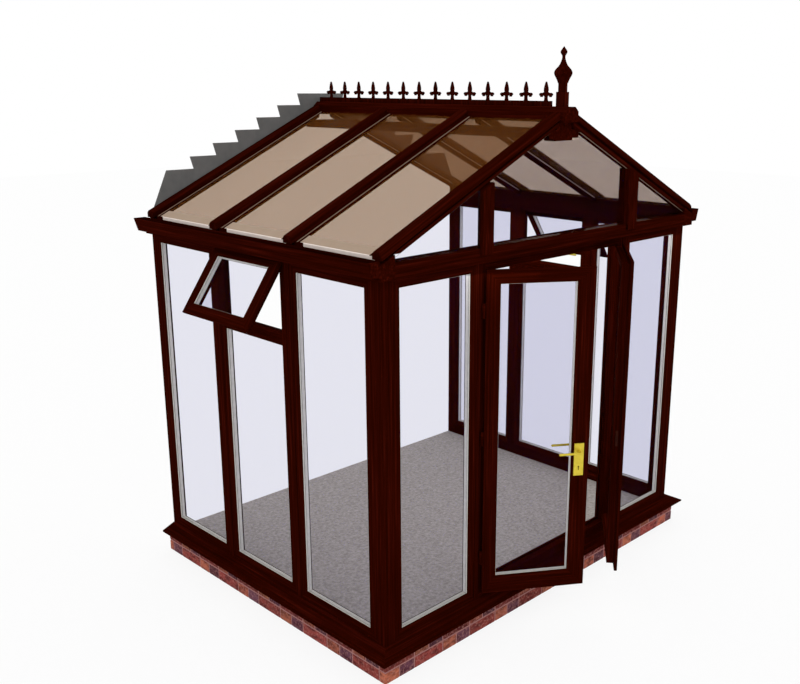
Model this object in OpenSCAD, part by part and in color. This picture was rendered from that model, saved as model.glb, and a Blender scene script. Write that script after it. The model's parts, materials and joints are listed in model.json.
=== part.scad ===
// Gable-fronted garden conservatory: brick plinth, woodgrain frames, sealed glazing units,
// a pitched twin-wall roof with a crested ridge, and a pair of outward-opening glazed doors.
// Front faces -Y, the house wall is at +Y, ground level is Z = 0. All sizes in millimetres.

/* [Overall] */
// Width over the outer frame faces
frame_w = 2800; // [2400:10:3200]
// Depth from the front frame face to the house wall
frame_d = 2190; // [1900:10:2800]
// Height of the wall frames
frame_h = 2032; // [1950:5:2200]
// Clearance between seated pieces
seat_gap = 0.1; // [0.05:0.05:0.3]

/* [Base] */
// Height of the brick plinth
plinth_h = 110; // [90:5:200]
// Thickness of the half-brick plinth
plinth_t = 102.5; // [100:0.5:110]
// Height of the finished floor above ground
floor_z = 142; // [120:1:160]
// Height of the sill from plinth to frame
sill_h = 83; // [60:1:90]
// Sill nose overhang from the frame face
sill_out = 92; // [60:1:110]
// Height of the sill nose
nose_h = 10; // [8:1:20]
// Thickness of the sill's nose lip
nose_t = 10; // [6:1:20]
// Fall of the sill's top from the frame to its nose
sill_fall = 37; // [24:1:44]
// Lap of the sill's underside over the plinth face
sill_lap = 6; // [3:1:20]

/* [Frames] */
// Depth of the frame section
frame_t = 60; // [54:1:80]
// Face width of frame rails and jambs
rail_w = 65; // [55:1:80]
// Width of the coupling mullions
coupler_w = 20; // [10:1:40]
// Width of the wall channel against the house
channel_w = 36; // [20:1:60]
// Overhang of the coupling cover strips
cover_lap = 5; // [3:0.5:8]
// Thickness of the coupling cover strips
cover_t = 3; // [2:0.5:5]
// Bevel on the outer sight edge
sight_bevel = 2; // [1:0.5:7]
// Bevel on the inner glazing bead
bead_bevel = 8; // [3:0.5:12]
// Height of the vent opening up to the heads of the other lights
vent_h = 354; // [250:1:500]
// Rise of the vent opening above the heads of the other lights
vent_rise = 25; // [20:1:30]
// Face width of the vent transom
transom_w = 80; // [60:1:100]

/* [Glazing] */
// Thickness of the sealed glazing unit
glass_t = 28; // [20:1:32]
// Set-back of the unit from the outer frame face
glass_set = 8; // [7.5:0.5:12]
// Side clearance of the unit in its groove
glass_gap = 0.2; // [0.1:0.05:0.4]
// Depth of the glazing groove
groove_d = 12; // [8:0.5:15]
// Edge clearance of the unit in its groove
edge_gap = 0.5; // [0.2:0.1:1]

/* [Doors] */
// Clear width between the door jambs
door_clear = 1214; // [1100:2:1400]
// Lap of the leaf flange over the jambs
door_lap = 45.5; // [40:0.5:46]
// Lap of the leaf flange over the threshold
foot_lap = 30; // [16:1:34]
// Lap of the leaf flange over the door head
head_lap = 13; // [10:1:24]
// Running clearance round the leaf
leaf_gap = 6; // [5:0.5:10]
// Gap between the two closed leaves
meet_gap = 6; // [5:0.5:10]
// Set-back of the leaf body from its meeting edge
meet_lap = 24; // [16:1:30]
// Width of the meeting mullion on the right leaf
meet_w = 43; // [30:1:50]
// Face width of the leaf's hinge stile
hinge_stile = 82; // [72:1:100]
// Face width of the leaf's meeting stile
meet_stile = 110; // [92:1:120]
// Face width of the leaf's bottom rail
foot_rail = 112; // [90:1:140]
// Face width of the leaf's top rail
head_rail = 80; // [60:1:110]
// Thickness of the leaf flange
flange_t = 20; // [15:1:26]
// Depth of the leaf body behind its flange
body_t = 46; // [40:1:60]
// Width of the door stop
stop_w = 12; // [8:1:20]
// Angle the left leaf stands open
left_open = 34.6; // [0:0.1:100]
// Angle the right leaf stands open
right_open = 38.1; // [0:0.1:100]

/* [Hinges] */
// Radius of the hinge knuckles
hinge_r = 9; // [7:0.5:11]
// Radius of the hinge pins
pin_r = 4; // [3:0.5:5]
// Running clearance of the hinge pins
pin_gap = 0.3; // [0.2:0.05:0.5]
// Clearance between the two knuckles of a hinge
knuckle_gap = 0.5; // [0.3:0.1:1]
// Thickness of the knuckle over the pin's end
knuckle_cap = 4; // [3:0.5:8]
// Height of one hinge knuckle
knuckle_h = 42; // [30:1:60]
// Width of the flag that holds the fixed knuckle
hinge_flag = 8; // [6:0.5:8]
// Distance from the hinge axis to the leaf edge
hinge_off = 10; // [9.5:0.5:14]
// Inset of the end hinges from the leaf ends
hinge_inset = 230; // [150:5:350]

/* [Handles] */
// Height of the lever spindle above the ground
lever_z = 1090; // [950:5:1150]
// Distance from the leaf edge to the spindle
backset = 63; // [55:1:70]
// Width of the handle plate
plate_w = 58; // [40:1:62]
// Height of the handle plate
plate_h = 198; // [150:1:240]
// Thickness of the handle plate
plate_t = 8; // [5:0.5:12]
// Height of the spindle above the plate centre
plate_drop = 50; // [20:1:70]
// Length of the lever
lever_l = 125; // [90:1:150]
// Stand-off of the lever from the plate
lever_out = 42; // [30:1:60]
// Diameter of the lever grip
lever_d = 14; // [12:1:22]
// Radius of the lever neck
neck_r = 10; // [8:0.5:14]
// Radius of the lever spindle
spindle_r = 5; // [4:0.5:7]
// Clearance of the spindle in the leaf
spindle_gap = 1.5; // [1:0.5:3]
// Radius of the keyhole's round end
key_r = 5; // [4:0.5:7]
// Thickness of the lock keep
keep_t = 2; // [1.5:0.5:3]

/* [Vents] */
// Angle the top-hung vents stand open
vent_open = 34.8; // [20:0.1:40]
// Face width of the vent sash stiles
sash_w = 71; // [62:1:80]
// Face width of the vent sash's lower rail
sash_foot = 70; // [50:1:80]
// Face width of the vent sash's upper rail
sash_head = 47; // [40:1:60]
// Lap of the sash flange over the jambs
sash_lap = 41; // [20:1:42]
// Lap of the sash flange over the transom
sash_foot_lap = 28; // [14:1:30]
// Lap of the sash flange over the frame head
sash_head_lap = 16; // [10:1:18]
// Length of each vent hinge barrel
vent_hinge_l = 70; // [40:1:120]
// Rise of the vent's hinge axis above its sash
vent_axis_up = 2; // [1:0.5:6]
// Length of the vent fastener's arm
fastener_l = 85; // [60:1:110]
// Length of the vent fastener's base
fastener_base = 60; // [40:1:90]
// Width of the vent fastener's base
fastener_w = 14; // [10:1:20]
// Thickness of the vent fastener's base
fastener_t = 6; // [4:0.5:10]
// Stand-off of the vent fastener
fastener_out = 28; // [20:1:40]
// Side of the vent fastener's arm
fastener_arm = 11; // [8:0.5:14]

/* [Roof] */
// Roof pitch in degrees
pitch = 25.1; // [20:0.1:30]
// Height of the eaves beam above the frame head
eaves_rise = 114; // [80:1:140]
// Half-width of the roof bar caps
bar_half = 36; // [26:1:42]
// Height of the bar caps above the sheets
cap_h = 37; // [18:1:40]
// Thickness of the twin-wall sheets
sheet_t = 16; // [10:1:25]
// Depth of the bar foot below the sheets
foot_h = 24; // [16:1:40]
// Half-width of the bar foot
foot_half = 25; // [18:1:30]
// Half-width of the bar web
web_half = 8; // [5:1:12]
// Clearance of the sheet edges from the webs
sheet_gap = 2; // [1:0.5:5]
// Overhang of the sheets past the frame face
sheet_out = -4; // [-10:1:10]
// Overhang of the bars past the frame face
bar_out = 24; // [20:1:38]
// Thickness of the sheet end closers
closer_t = 6; // [3:0.5:9]
// Overhang of the front bars past the front frame face
gable_out = 40; // [30:1:41]

/* [Ridge] */
// Half-width of the ridge cap
ridge_half = 68; // [50:1:90]
// Half-width of the flat top of the ridge cap
ridge_top_half = 38; // [25:1:48]
// Height of the flat top above the bar tops at the cap sides
ridge_rise = 27; // [15:1:40]
// Overhang of the ridge cap past the front frame face
ridge_out = 60; // [45:1:90]
// Half-width of the ridge tie
tie_half = 138; // [110:1:180]
// Height of the ridge tie's sides
tie_h = 31; // [20:1:50]
// Width of the seat of each bar on the tie
tie_seat = 38; // [20:1:60]
// Overhang of the ridge tie past the front frame face
tie_out = 13; // [5:1:30]
// Height of the boss under the tie's front end
boss_h = 13; // [6:1:20]
// Half-width of the boss
boss_half = 79; // [40:1:100]
// Length of the boss
boss_l = 80; // [40:1:120]
// Height of the cresting strip
crest_strip_h = 30; // [20:1:40]
// Thickness of the cresting strip
crest_strip_t = 20; // [12:1:30]
// Distance of the cresting strip from the front frame face
crest_start = 85; // [60:1:150]
// Distance of the front fleur from the strip's front end
fleur_first = 40; // [30:1:120]
// Distance of the rear fleur from the strip's rear end
fleur_last = 120; // [30:1:160]
// Number of fleurs along the ridge
fleur_count = 14; // [8:1:18]
// Height of one fleur
fleur_h = 108; // [70:1:130]
// Thickness of one fleur
fleur_t = 12; // [6:1:18]
// Height of the finial
finial_h = 328; // [220:2:420]
// Largest diameter of the finial bulb
finial_d = 104; // [70:1:110]
// Side of the finial's square base
finial_base = 52; // [46:1:70]
// Distance of the finial's axis from the front frame face
finial_y = 7; // [-20:1:20]

/* [Eaves and gable] */
// Projection of the eaves and gable fascia from the frame face
fascia_out = 42; // [42:1:50]
// Drop of the fascia over the frame head
fascia_drop = 10; // [8:1:34]
// Width of the gutter at its lip
gutter_w = 78; // [60:1:110]
// Width of the gutter floor
gutter_floor = 53; // [40:1:58]
// Depth of the gutter
gutter_h = 81; // [50:1:90]
// Height of the gutter floor above the fascia's lower edge
gutter_lift = 23; // [10:1:40]
// Wall of the gutter
gutter_wall = 3; // [2:0.5:5]
// Distance of the gable mullion centres from the middle
gable_mull_x = 673; // [500:1:800]
// Width of the gable mullions
gable_mull_w = 111; // [70:1:130]
// Projection of the gable mullions from the fascia
gable_mull_out = 16; // [8:1:24]
// Lap of the gable mullions down over the gable beam
gable_mull_lap = 76; // [40:1:90]

/* [Flashing] */
// Thickness of the lead flashing
lead_t = 3; // [2:0.5:5]
// Height of the first flashing tread above the bars at the eaves
lead_rise = 229; // [200:1:300]
// Height of the flashing's top above the crossing of the bar tops
lead_head = 51; // [40:1:100]
// Setback of the flashing's foot from the frame face
lead_inset = 5; // [2:1:40]
// Setback of the first tread from the flashing's foot
lead_toe = 124; // [60:1:160]
// Overhang of each flashing step above its riser's foot
lead_lean = 23; // [0:1:40]
// Number of flashing risers on a slope
lead_count = 6; // [4:1:9]
// Distance of the lowest flashing riser from the middle
lead_far = 1083; // [900:1:1150]
// Distance of the highest flashing riser from the middle
lead_near = 199; // [150:1:300]

/* [Hidden] */
$fn = 48;
eps = 0.01;
cut = 1;
big = 6000;

// Levels
sill_z = plinth_h;
frame_z0 = plinth_h + sill_h;
frame_z1 = frame_z0 + frame_h;
open_z0 = frame_z0 + rail_w;
open_z1 = frame_z1 - rail_w;
front_y = -frame_d/2;
rear_y = frame_d/2;
half_w = frame_w/2;
inner_x = half_w - frame_t;
plinth_out = plinth_t - frame_t;

// Wall layout
post_w = frame_t;
bay_w = (frame_d - post_w - channel_w - 2*coupler_w)/3;
door_frame_w = door_clear + 2*rail_w;
side_frame_w = (frame_w - 2*post_w - door_frame_w - 2*coupler_w)/2;
side_x = door_frame_w/2 + coupler_w;
open_h = open_z1 - open_z0;
groove_w = glass_t + 2*glass_gap;
vent_z0 = open_z1 - vent_h;
vent_z1 = open_z1 + vent_rise;
transom_z = vent_z0 - transom_w;
low_h = transom_z - open_z0;

// Doors
leaf_w = door_clear/2 + door_lap - (meet_gap + meet_w)/2;
leaf_z0 = open_z0 - foot_lap;
leaf_z1 = open_z1 + head_lap;
leaf_h = leaf_z1 - leaf_z0;
leaf_front = -leaf_gap - flange_t;
leaf_back = -leaf_gap + body_t;
axis_x = -(door_clear/2 + door_lap + hinge_off);
axis_y = front_y - leaf_gap - flange_t/2;
hinge_zs = [leaf_z0 + hinge_inset, (leaf_z0 + leaf_z1)/2, leaf_z1 - hinge_inset];

// Roof planes, as functions of the distance from the ridge line
slope = tan(pitch);
cosp = cos(pitch);
apex_z = frame_z1 + eaves_rise + inner_x*slope + (sheet_t + cap_h)/cosp;
sheet_top_z = apex_z - cap_h/cosp;
foot_top_z = sheet_top_z - sheet_t/cosp;
foot_low_z = foot_top_z - foot_h/cosp;
function bar_top(x) = apex_z - x*slope;
function sheet_low(x) = foot_top_z - x*slope;
function foot_low(x) = foot_low_z - x*slope;
bay_pitch = bay_w + coupler_w;
bar_front_y = front_y - gable_out + bar_half;
bar_rear_y = rear_y - lead_t - seat_gap - bar_half;
bar_ys = [for (i = [0:3]) bar_front_y + i*(bar_rear_y - bar_front_y)/3];
bar_end = half_w + bar_out;
sheet_end = half_w + sheet_out;
beam_top = sheet_low(inner_x) - seat_gap;
ridge_top = bar_top(ridge_half) + ridge_rise;
ridge_low = sheet_low(ridge_half);
tie_low = foot_low(tie_half) - tie_h;
fascia_z = frame_z1 - fascia_drop;

// Flashing with even treads and risers from the eaves to the top
lead_foot = half_w - lead_inset;
lead_first = bar_top(lead_foot) + lead_rise;
lead_step = (apex_z + lead_head - lead_first)/lead_count;
lead_run = (lead_far - lead_near)/(lead_count - 1);

// Turned part of the finial as [share of the largest radius, share of the height]
finial_turning = [[0.5, 0.387], [0.57, 0.398], [0.6, 0.418], [0.68, 0.447], [0.78, 0.478], [0.9, 0.511],
                  [0.98, 0.541], [1, 0.562], [0.96, 0.588], [0.85, 0.618], [0.69, 0.646], [0.52, 0.675],
                  [0.39, 0.706], [0.3, 0.741], [0.22, 0.777], [0.17, 0.814], [0.18, 0.843], [0.26, 0.864],
                  [0.35, 0.885], [0.38, 0.906], [0.33, 0.929], [0.21, 0.955], [0.09, 0.982], [0, 1]];

rosewood = [0.16, 0.04, 0.02];
brick_red = [0.62, 0.27, 0.2];
concrete = [0.54, 0.51, 0.51];
clear_glass = [0.88, 0.88, 0.95, 0.4];
bronze_sheet = [0.6, 0.48, 0.36, 0.6];
lead_grey = [0.35, 0.35, 0.36];
brass_gold = [0.82, 0.76, 0.3];
cream = [0.9, 0.88, 0.8];

// Placing helpers

// The left wall seen from outside: local X runs from the house to the front, local Y inward
module on_left_wall() translate([-half_w, rear_y, 0]) rotate([0, 0, -90]) children();

// The right wall is the mirror of the left
module on_right_wall() mirror([1, 0, 0]) on_left_wall() children();

// The front wall: local X along the front, local Y inward
module on_front_wall() translate([0, front_y, 0]) children();

// The right roof slope: local X down the slope from the ridge, local Z out of the sheets
module on_right_slope() translate([0, 0, sheet_top_z]) rotate([0, pitch, 0]) children();

// A profile of [across, up] points run along X
module run_x(points, length) rotate([90, 0, 90]) linear_extrude(length) polygon(points);

// A profile of [across, up] points run along Y, across pointing to +X
module run_y(points, length) {
    translate([0, length, 0])
        rotate([90, 0, 0])
            linear_extrude(length)
                polygon(points);
}

// Sections

// Frame section as [face, depth] points with its glazing groove and bevels
function frame_section() =
    [[0, 0], [rail_w - sight_bevel, 0], [rail_w, sight_bevel], [rail_w, glass_set],
     [rail_w - groove_d, glass_set], [rail_w - groove_d, glass_set + groove_w],
     [rail_w, glass_set + groove_w], [rail_w, frame_t - bead_bevel],
     [rail_w - bead_bevel, frame_t], [0, frame_t]];

// Door frame section: plain jamb with a stop behind the closed leaf
function door_section() =
    let (stop = leaf_back + leaf_gap)
    [[0, 0], [rail_w, 0], [rail_w, stop], [rail_w + stop_w, stop],
     [rail_w + stop_w, frame_t], [0, frame_t]];

// A rebated frame for leaves and vents: a flange lapping the opening and a body holding the glass.
// Faces and laps are given as [left, right, foot, head], its lower left corner at the origin.
module rebated_frame(width, height, faces, laps) {
    clear_w = width - faces[0] - faces[1];
    clear_h = height - faces[2] - faces[3];
    insets = [for (lap = laps) lap + leaf_gap];
    difference() {
        union() {
            translate([0, leaf_front, 0]) cube([width, flange_t, height]);
            translate([insets[0], -leaf_gap - eps, insets[2]])
                cube([width - insets[0] - insets[1], body_t + eps, height - insets[2] - insets[3]]);
        }
        translate([faces[0], leaf_front - cut, faces[2]]) cube([clear_w, big, clear_h]);
        translate([faces[0] - groove_d, leaf_front + glass_set, faces[2] - groove_d])
            cube([clear_w + 2*groove_d, groove_w, clear_h + 2*groove_d]);
    }
}

// One rail of a mitred frame along X, its outer edge at Z = 0, its face width going up
module mitred_rail(section, length, face) {
    intersection() {
        run_x([for (p = section) [p[1], p[0]]], length);
        translate([0, big/2, 0])
            rotate([90, 0, 0])
                linear_extrude(big)
                    polygon([[0, 0], [length, 0], [length - face, face], [face, face]]);
    }
}

// The two upright members of a mitred frame
module mitred_jambs(section, width, height, face) {
    mirror([1, 0, 0]) rotate([0, -90, 0]) mitred_rail(section, height, face);
    translate([width, 0, 0]) rotate([0, -90, 0]) mitred_rail(section, height, face);
}

// A whole welded frame
module mitred_frame(section, width, height, face) {
    mitred_rail(section, width, face);
    translate([0, 0, height]) mirror([0, 0, 1]) mitred_rail(section, width, face);
    mitred_jambs(section, width, height, face);
}

// A fixed-light frame with its lower left corner at X
module light_frame(x, width) {
    translate([x, 0, frame_z0]) mitred_frame(frame_section(), width, frame_h, rail_w);
}

// A frame with a transom under its top-hung vent
module vent_frame(x, width) {
    reach = rail_w - groove_d;
    back = glass_set + groove_w;
    difference() {
        light_frame(x, width);
        translate([x + rail_w, -cut, vent_z0]) cube([width - 2*rail_w, big, vent_z1 - vent_z0]);
    }
    difference() {
        translate([x + reach, 0, transom_z]) cube([width - 2*reach, frame_t, transom_w]);
        for (z = [transom_z - eps, transom_z + transom_w - groove_d])
            translate([x, glass_set, z]) cube([width, groove_w, groove_d + eps]);
        for (end = [x, x + width - rail_w]) {
            translate([end, -eps, transom_z - eps]) cube([rail_w, glass_set + eps, transom_w + 2*eps]);
            translate([end, back, transom_z - eps]) cube([rail_w, big, transom_w + 2*eps]);
        }
    }
}

// A sealed unit for an opening with its lower left corner at [x, z]
module sealed_unit(x, z, width, height, set = glass_set) {
    reach = groove_d - edge_gap;
    translate([x - reach, set + glass_gap, z - reach])
        cube([width + 2*reach, glass_t, height + 2*reach]);
}

function bay_x(i) = channel_w + i*bay_pitch;

// Base

module plinth_side() {
    translate([-half_w - plinth_out, front_y + frame_t, 0])
        cube([plinth_t, frame_d - frame_t, plinth_h]);
}

module plinth_left() color(brick_red) plinth_side();

module plinth_right() color(brick_red) mirror([1, 0, 0]) plinth_side();

module plinth_front() {
    color(brick_red)
        translate([-half_w - plinth_out, front_y - plinth_out, 0])
            cube([frame_w + 2*plinth_out, plinth_t, plinth_h]);
}

module floor_slab() {
    color(concrete)
        translate([-inner_x, front_y + frame_t, 0])
            cube([2*inner_x, frame_d - frame_t, floor_z]);
}

// Sill section as [outward, up] points from the inner face, with a drip under the nose
function sill_section() =
    let (drip = nose_h/4, nose_z = frame_z0 - sill_fall, low = nose_z - nose_h, nose = frame_t + sill_out)
    [[0, sill_z], [0, frame_z0], [frame_t, frame_z0], [nose, nose_z], [nose, low], [nose - nose_t, low],
     [nose - nose_t, low + drip], [plinth_t + sill_lap, low + drip], [plinth_t + sill_lap, sill_z]];

module sill_side() {
    intersection() {
        translate([-inner_x, front_y - sill_out, 0])
            mirror([1, 0, 0])
                run_y(sill_section(), frame_d + sill_out);
        linear_extrude(big)
            polygon([[-inner_x, rear_y], [-inner_x, front_y + frame_t],
                     [-half_w - sill_out, front_y - sill_out], [-half_w - sill_out, rear_y]]);
    }
}

module sill_left() color(rosewood) sill_side();

module sill_right() color(rosewood) mirror([1, 0, 0]) sill_side();

module sill_front() {
    color(rosewood)
        intersection() {
            translate([-half_w - sill_out, front_y + frame_t, 0])
                run_x([for (p = sill_section()) [-p[0], p[1]]], frame_w + 2*sill_out);
            linear_extrude(big)
                polygon([[-inner_x, front_y + frame_t],
                         [inner_x, front_y + frame_t],
                         [half_w + sill_out, front_y - sill_out],
                         [-half_w - sill_out, front_y - sill_out]]);
        }
}

// Posts and couplings

module corner_post() {
    bevel = sight_bevel;
    translate([-half_w, front_y, frame_z0])
        linear_extrude(frame_h)
            polygon([[bevel, 0], [post_w, 0], [post_w, post_w], [0, post_w], [0, bevel]]);
}

module corner_posts() {
    color(rosewood) {
        corner_post();
        mirror([1, 0, 0]) corner_post();
    }
}

// Coupling mullion with a cover strip lapping the frames on the outside
module coupler(x) {
    x0 = seat_gap;
    x1 = coupler_w - seat_gap;
    translate([x, 0, frame_z0]) {
        linear_extrude(frame_h - fascia_drop)
            polygon([[-cover_lap, -cover_t], [coupler_w + cover_lap, -cover_t], [coupler_w + cover_lap, 0],
                     [x1, 0], [x1, frame_t], [x0, frame_t], [x0, 0], [-cover_lap, 0]]);
        translate([x0, 0, frame_h - fascia_drop]) cube([x1 - x0, frame_t, fascia_drop]);
    }
}

module couplers() {
    color(rosewood) {
        on_left_wall() for (i = [1, 2]) coupler(bay_x(i) - coupler_w);
        on_right_wall() for (i = [1, 2]) coupler(bay_x(i) - coupler_w);
        on_front_wall() coupler(-side_x);
        on_front_wall() coupler(side_x - coupler_w);
    }
}

module wall_channels() {
    color(rosewood) {
        on_left_wall() translate([0, 0, frame_z0]) cube([channel_w, frame_t, frame_h]);
        on_right_wall() translate([0, 0, frame_z0]) cube([channel_w, frame_t, frame_h]);
    }
}

// Wall frames

module left_rear_frame() color(rosewood) on_left_wall() light_frame(bay_x(0), bay_w);

module left_middle_frame() color(rosewood) on_left_wall() vent_frame(bay_x(1), bay_w);

module left_front_frame() color(rosewood) on_left_wall() light_frame(bay_x(2), bay_w);

module right_rear_frame() color(rosewood) on_right_wall() light_frame(bay_x(0), bay_w);

module right_middle_frame() color(rosewood) on_right_wall() vent_frame(bay_x(1), bay_w);

module right_front_frame() color(rosewood) on_right_wall() light_frame(bay_x(2), bay_w);

module front_left_frame() {
    color(rosewood)
        on_front_wall()
            light_frame(-side_x - side_frame_w, side_frame_w);
}

module front_right_frame() color(rosewood) on_front_wall() light_frame(side_x, side_frame_w);

// Glazing of one side wall, leaving the vent opening free
module side_units() {
    for (i = [0, 2])
        sealed_unit(bay_x(i) + rail_w, open_z0, bay_w - 2*rail_w, open_h);
    sealed_unit(bay_x(1) + rail_w, open_z0, bay_w - 2*rail_w, low_h);
}

module left_glass() color(clear_glass) on_left_wall() side_units();

module right_glass() color(clear_glass) on_right_wall() side_units();

module front_glass() {
    color(clear_glass)
        on_front_wall()
            for (x = [-side_x - side_frame_w, side_x])
                sealed_unit(x + rail_w, open_z0, side_frame_w - 2*rail_w, open_h);
}

// Door frame

// The fixed half of one hinge: a flag on the jamb, its knuckle and the pin
module jamb_hinge(z) {
    low_h = knuckle_h - knuckle_gap;
    translate([axis_x, axis_y, z - knuckle_h]) {
        cylinder(r = hinge_r, h = low_h);
        cylinder(r = pin_r, h = 2*knuckle_h - knuckle_cap);
        translate([-hinge_flag/2, 0, 0]) cube([hinge_flag, front_y - axis_y, low_h]);
    }
}

// The left door jamb with its hinges
module left_jamb() {
    face = rail_w + stop_w;
    on_front_wall()
        translate([-door_frame_w/2, 0, frame_z0])
            mirror([1, 0, 0])
                rotate([0, -90, 0])
                    mitred_rail(door_section(), frame_h, face);
    for (z = hinge_zs) jamb_hinge(z);
}

module door_jambs() {
    color(rosewood) {
        left_jamb();
        mirror([1, 0, 0]) left_jamb();
    }
}

module door_head() {
    color(rosewood)
        on_front_wall()
            translate([-door_frame_w/2, 0, frame_z1])
                mirror([0, 0, 1])
                    mitred_rail(door_section(), door_frame_w, rail_w + stop_w);
}

module door_threshold() {
    color(rosewood)
        on_front_wall()
            translate([-door_frame_w/2, 0, frame_z0])
                mitred_rail(door_section(), door_frame_w, rail_w + stop_w);
}

// Door leaves, drawn closed at the left and swung open about the hinge axis

module swing(angle) {
    translate([axis_x, axis_y, 0])
        rotate([0, 0, -angle])
            translate([-axis_x, -axis_y, 0])
                children();
}

// The leaf's own frame: X from its hinge edge, Y inward from the wall's outer face
module on_leaf() translate([axis_x + hinge_off, front_y, 0]) children();

// The moving half of one hinge, bored for the pin
module leaf_hinge(z) {
    translate([axis_x, axis_y, z + knuckle_gap])
        difference() {
            union() {
                cylinder(r = hinge_r, h = knuckle_h);
                translate([0, -hinge_r/2, 0]) cube([hinge_off + pin_gap, hinge_r, knuckle_h]);
            }
            translate([0, 0, -cut]) cylinder(r = pin_r + pin_gap, h = knuckle_h - knuckle_cap + cut);
        }
}

// A closed leaf, its meeting stile widened by a mullion where it has one
module closed_leaf(mullion = 0) {
    on_leaf()
        translate([0, 0, leaf_z0])
            rebated_frame(leaf_w + mullion, leaf_h,
                          [hinge_stile, meet_stile + mullion, foot_rail, head_rail],
                          [door_lap, meet_lap, foot_lap, head_lap]);
    for (z = hinge_zs) leaf_hinge(z);
}

module closed_leaf_glass() {
    on_leaf()
        sealed_unit(hinge_stile, leaf_z0 + foot_rail, leaf_w - hinge_stile - meet_stile,
                    leaf_h - foot_rail - head_rail, leaf_front + glass_set);
}

spindle_x = leaf_w - backset;

module left_door_leaf() {
    color(rosewood)
        swing(left_open)
            difference() {
                closed_leaf();
                on_leaf()
                    translate([spindle_x, leaf_front - cut, lever_z])
                        rotate([-90, 0, 0])
                            cylinder(r = spindle_r + spindle_gap, h = flange_t + body_t + 2*cut);
            }
}

module left_door_glass() color(clear_glass) swing(left_open) closed_leaf_glass();

module right_door_leaf() color(rosewood) mirror([1, 0, 0]) swing(right_open) closed_leaf(meet_w);

module right_door_glass() {
    color(clear_glass)
        mirror([1, 0, 0])
            swing(right_open)
                closed_leaf_glass();
}

// A handle plate with a hole for the lever neck and a keyhole, its back on Y = 0
module handle_plate() {
    key_z = -2*plate_drop;
    rotate([90, 0, 0])
        linear_extrude(plate_t)
            difference() {
                translate([-plate_w/2, -plate_drop - plate_h/2]) square([plate_w, plate_h]);
                circle(r = neck_r + pin_gap);
                translate([0, key_z + key_r]) circle(r = key_r);
                translate([-key_r/2, key_z - 3*key_r]) square([key_r, 4*key_r]);
            }
}

module left_door_plates() {
    color(brass_gold)
        swing(left_open)
            on_leaf() {
                translate([spindle_x, leaf_front, lever_z]) handle_plate();
                translate([spindle_x, leaf_back, lever_z]) mirror([0, 1, 0]) handle_plate();
            }
}

// One lever: a neck out of the plate and a straight grip towards the hinges
module lever_arm() {
    translate([0, -pin_gap, 0])
        rotate([90, 0, 0])
            cylinder(r = neck_r, h = plate_t + lever_out - pin_gap);
    translate([0, -plate_t - lever_out + lever_d/2, 0])
        rotate([0, -90, 0])
            cylinder(d = lever_d, h = lever_l);
    translate([-lever_l, -plate_t - lever_out + lever_d/2, 0]) sphere(d = lever_d);
}

module left_door_lever() {
    color(brass_gold)
        swing(left_open)
            on_leaf() {
                translate([spindle_x, leaf_front, lever_z]) lever_arm();
                translate([spindle_x, leaf_back, lever_z]) mirror([0, 1, 0]) lever_arm();
                translate([spindle_x, leaf_front - 2*pin_gap, lever_z])
                    rotate([-90, 0, 0])
                        cylinder(r = spindle_r, h = flange_t + body_t + 4*pin_gap);
            }
}

// Strike plate on the meeting edge of the right leaf
module lock_keep() {
    keep_x = leaf_w + meet_w - meet_lap - leaf_gap;
    color(brass_gold)
        mirror([1, 0, 0])
            swing(right_open)
                on_leaf()
                    translate([keep_x, leaf_back - 2*body_t/3, lever_z - plate_h/4])
                        cube([keep_t, body_t/3, plate_h/2]);
}

// Top-hung vents

vent_w = bay_w - 2*rail_w + 2*sash_lap;
sash_z = vent_z0 - sash_foot_lap;
sash_h = vent_z1 + sash_head_lap - sash_z;
vent_x = bay_x(1) + rail_w - sash_lap;
vent_axis_y = -hinge_r - pin_gap;
vent_axis_z = sash_z + sash_h + vent_axis_up;

// Swings the closed sash out about its head
module vent_swing() {
    translate([0, vent_axis_y, vent_axis_z])
        rotate([-vent_open, 0, 0])
            translate([0, -vent_axis_y, -vent_axis_z])
                children();
}

module vent_sash() {
    vent_swing()
        translate([vent_x, 0, sash_z])
            rebated_frame(vent_w, sash_h, [sash_w, sash_w, sash_foot, sash_head],
                          [sash_lap, sash_lap, sash_foot_lap, sash_head_lap]);
    for (s = [0.2, 0.8])
        translate([vent_x + s*vent_w - vent_hinge_l/2, vent_axis_y, vent_axis_z])
            rotate([0, 90, 0])
                cylinder(r = hinge_r, h = vent_hinge_l);
}

module left_vent_sash() color(rosewood) on_left_wall() vent_sash();

module right_vent_sash() color(rosewood) on_right_wall() vent_sash();

module vent_unit() {
    vent_swing()
        sealed_unit(vent_x + sash_w, sash_z + sash_foot, vent_w - 2*sash_w,
                    sash_h - sash_foot - sash_head, leaf_front + glass_set);
}

module vent_glass() {
    color(clear_glass) {
        on_left_wall() vent_unit();
        on_right_wall() vent_unit();
    }
}

// Vent fastener on the inside of the sash's lower rail
module vent_handle() {
    z = sash_z + (sash_foot + sash_foot_lap + leaf_gap)/2;
    vent_swing()
        translate([vent_x + vent_w/2, leaf_back, z]) {
            translate([-fastener_base/2, 0, -fastener_w/2]) cube([fastener_base, fastener_t, fastener_w]);
            rotate([-90, 0, 0]) cylinder(d = fastener_w, h = fastener_out - fastener_arm/2);
            translate([0, fastener_out - fastener_arm, -fastener_arm/2])
                cube([fastener_l, fastener_arm, fastener_arm]);
        }
}

module vent_handles() {
    color(brass_gold) {
        on_left_wall() vent_handle();
        on_right_wall() vent_handle();
    }
}

// Eaves and gutters

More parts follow.
